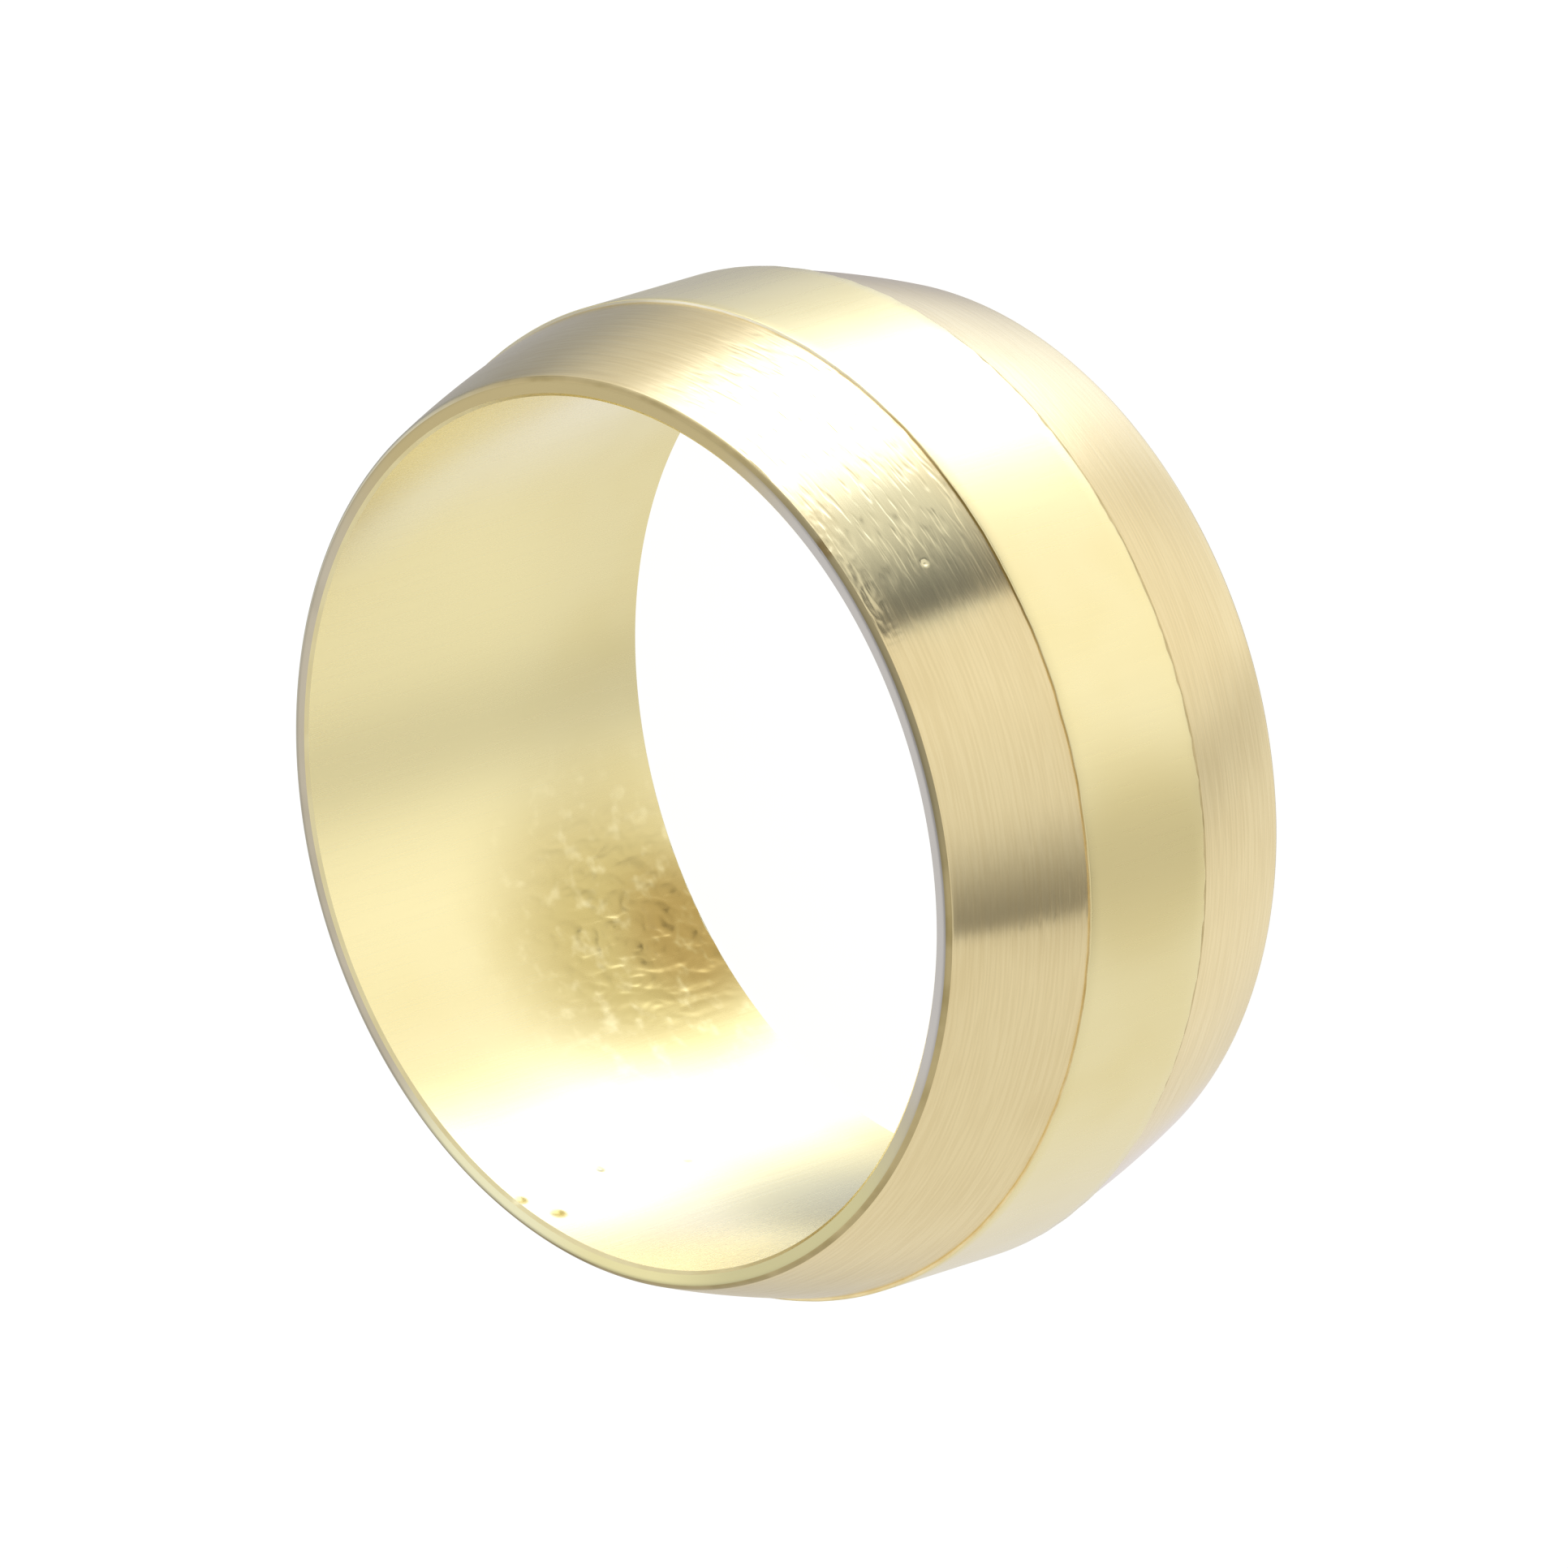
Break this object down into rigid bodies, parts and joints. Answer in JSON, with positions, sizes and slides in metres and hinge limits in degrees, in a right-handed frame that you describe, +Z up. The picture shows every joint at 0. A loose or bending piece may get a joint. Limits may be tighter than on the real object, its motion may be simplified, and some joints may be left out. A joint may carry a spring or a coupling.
{
  "type": "compression olive",
  "caption": "Turned brass sealing ring with a plain middle band, two crowned tapering flanks and a straight through bore that slides over copper tube.",
  "frame": {"origin": "centre of the lower end face, on the axis of the bore", "axes": "+Z up along the bore; the ring is round, so +X and +Y are any two directions across it"},
  "size_m": [0.0186, 0.0186, 0.0084],
  "materials": {
    "brass": "turned, satin, with fine lines round the flanks"
  },
  "bodies": {
    "root": {"olive": "brass"}
  },
  "joints": []
}
